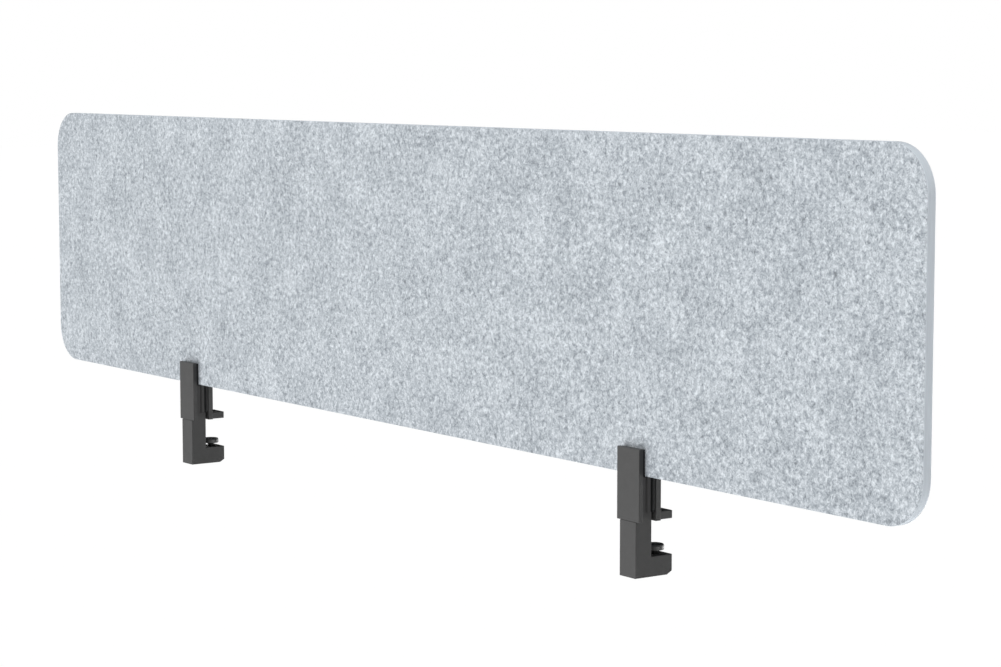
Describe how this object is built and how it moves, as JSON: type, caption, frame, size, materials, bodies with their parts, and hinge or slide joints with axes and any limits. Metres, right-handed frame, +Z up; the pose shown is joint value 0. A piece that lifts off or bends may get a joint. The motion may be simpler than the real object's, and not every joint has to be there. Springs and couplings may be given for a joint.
{
  "type": "desk privacy panel",
  "caption": "Rounded felt privacy screen for a desk edge, carried by two dark metal clamps with sliding lower hooks and screw-driven swivel pads.",
  "frame": {"origin": "the desk's upper edge under the middle of the board: y = 0 is the plane of the desk's edge face, z = 0 the desk's upper surface", "axes": "+X along the board, +Y from the desk's edge in over the desk top, +Z up"},
  "size_m": [1.524, 0.0418, 0.3973],
  "materials": {
    "felt": "matte",
    "powder_coat": "matte",
    "rubber": "matte",
    "black_steel": "satin",
    "painted_steel": "matte",
    "brass": "satin"
  },
  "bodies": {
    "panel": {"felt_panel": "felt"},
    "right_clamp": {"right_bracket": "powder_coat", "right_front_liner": "rubber", "right_jaw_pad": "rubber"},
    "right_press": {"right_pressure_plate": "black_steel", "right_rear_liner": "rubber"},
    "right_grip_screw": {"right_grip_screw": "black_steel"},
    "right_hook": {"right_hook": "powder_coat"},
    "right_pad": {"right_pad_disc": "painted_steel", "right_pad_face": "rubber"},
    "right_spindle": {"right_spindle": "black_steel", "right_pad_ring": "black_steel"},
    "right_lock_pellet_1": {"right_lock_pellet_1": "brass"},
    "right_lock_screw_1": {"right_lock_screw_1": "black_steel"},
    "right_lock_pellet_2": {"right_lock_pellet_2": "brass"},
    "right_lock_screw_2": {"right_lock_screw_2": "black_steel"},
    "left_clamp": {"left_bracket": "powder_coat", "left_front_liner": "rubber", "left_jaw_pad": "rubber"},
    "left_press": {"left_pressure_plate": "black_steel", "left_rear_liner": "rubber"},
    "left_grip_screw": {"left_grip_screw": "black_steel"},
    "left_hook": {"left_hook": "powder_coat"},
    "left_pad": {"left_pad_disc": "painted_steel", "left_pad_face": "rubber"},
    "left_spindle": {"left_spindle": "black_steel", "left_pad_ring": "black_steel"},
    "left_lock_pellet_1": {"left_lock_pellet_1": "brass"},
    "left_lock_screw_1": {"left_lock_screw_1": "black_steel"},
    "left_lock_pellet_2": {"left_lock_pellet_2": "brass"},
    "left_lock_screw_2": {"left_lock_screw_2": "black_steel"}
  },
  "joints": [
    {"name": "right_clamp_slide", "type": "slide", "parent": "panel", "child": "right_clamp", "axis": [1, 0, 0], "range_m": [-0.37, 0.3]},
    {"name": "right_press_slide", "type": "slide", "parent": "right_clamp", "child": "right_press", "axis": [0, 1, 0], "range_m": [0, 0.00085]},
    {"name": "right_grip_screw_turn", "type": "hinge", "parent": "right_press", "child": "right_grip_screw", "pos_m": [0.3983, 0.0006, 0.0543], "axis": [0, 1, 0], "range_deg": [0, 306.2]},
    {"name": "right_hook_slide", "type": "slide", "parent": "right_clamp", "child": "right_hook", "axis": [0, 0, 1], "range_m": [-0.02, 0]},
    {"name": "right_pad_travel", "type": "slide", "parent": "right_hook", "child": "right_pad", "axis": [0, 0, 1], "range_m": [-0.0035, 0.00875]},
    {"name": "right_spindle_turn", "type": "hinge", "parent": "right_pad", "child": "right_spindle", "pos_m": [0.3983, 0.0124, -0.0286], "axis": [0, 0, 1], "range_deg": [-1008.5, 2520.5]},
    {"name": "right_lock_slide_1", "type": "slide", "parent": "right_clamp", "child": "right_lock_pellet_1", "axis": [0, 1, 0], "range_m": [0, 0.002]},
    {"name": "right_lock_screw_1_turn", "type": "hinge", "parent": "right_lock_pellet_1", "child": "right_lock_screw_1", "pos_m": [0.3903, -0.005, 0.016], "axis": [0, 1, 0], "range_deg": [0, 900.5]},
    {"name": "right_lock_slide_2", "type": "slide", "parent": "right_clamp", "child": "right_lock_pellet_2", "axis": [0, 1, 0], "range_m": [0, 0.002]},
    {"name": "right_lock_screw_2_turn", "type": "hinge", "parent": "right_lock_pellet_2", "child": "right_lock_screw_2", "pos_m": [0.4063, -0.005, 0.016], "axis": [0, 1, 0], "range_deg": [0, 900.5]},
    {"name": "left_clamp_slide", "type": "slide", "parent": "panel", "child": "left_clamp", "axis": [1, 0, 0], "range_m": [-0.27, 0.395]},
    {"name": "left_press_slide", "type": "slide", "parent": "left_clamp", "child": "left_press", "axis": [0, 1, 0], "range_m": [0, 0.00085]},
    {"name": "left_grip_screw_turn", "type": "hinge", "parent": "left_press", "child": "left_grip_screw", "pos_m": [-0.4217, 0.0006, 0.0543], "axis": [0, 1, 0], "range_deg": [0, 306.2]},
    {"name": "left_hook_slide", "type": "slide", "parent": "left_clamp", "child": "left_hook", "axis": [0, 0, 1], "range_m": [-0.02, 0]},
    {"name": "left_pad_travel", "type": "slide", "parent": "left_hook", "child": "left_pad", "axis": [0, 0, 1], "range_m": [-0.0035, 0.00875]},
    {"name": "left_spindle_turn", "type": "hinge", "parent": "left_pad", "child": "left_spindle", "pos_m": [-0.4217, 0.0124, -0.0286], "axis": [0, 0, 1], "range_deg": [-1008.5, 2520.5]},
    {"name": "left_lock_slide_1", "type": "slide", "parent": "left_clamp", "child": "left_lock_pellet_1", "axis": [0, 1, 0], "range_m": [0, 0.002]},
    {"name": "left_lock_screw_1_turn", "type": "hinge", "parent": "left_lock_pellet_1", "child": "left_lock_screw_1", "pos_m": [-0.4297, -0.005, 0.016], "axis": [0, 1, 0], "range_deg": [0, 900.5]},
    {"name": "left_lock_slide_2", "type": "slide", "parent": "left_clamp", "child": "left_lock_pellet_2", "axis": [0, 1, 0], "range_m": [0, 0.002]},
    {"name": "left_lock_screw_2_turn", "type": "hinge", "parent": "left_lock_pellet_2", "child": "left_lock_screw_2", "pos_m": [-0.4137, -0.005, 0.016], "axis": [0, 1, 0], "range_deg": [0, 900.5]}
  ],
  "couplings": [
    {"joint": "right_grip_screw_turn", "follows": "right_press_slide", "rad_per_m": 6283.2},
    {"joint": "right_spindle_turn", "follows": "right_pad_travel", "rad_per_m": 5026.5},
    {"joint": "right_lock_screw_1_turn", "follows": "right_lock_slide_1", "rad_per_m": 7854},
    {"joint": "right_lock_screw_2_turn", "follows": "right_lock_slide_2", "rad_per_m": 7854},
    {"joint": "left_grip_screw_turn", "follows": "left_press_slide", "rad_per_m": 6283.2},
    {"joint": "left_spindle_turn", "follows": "left_pad_travel", "rad_per_m": 5026.5},
    {"joint": "left_lock_screw_1_turn", "follows": "left_lock_slide_1", "rad_per_m": 7854},
    {"joint": "left_lock_screw_2_turn", "follows": "left_lock_slide_2", "rad_per_m": 7854}
  ]
}
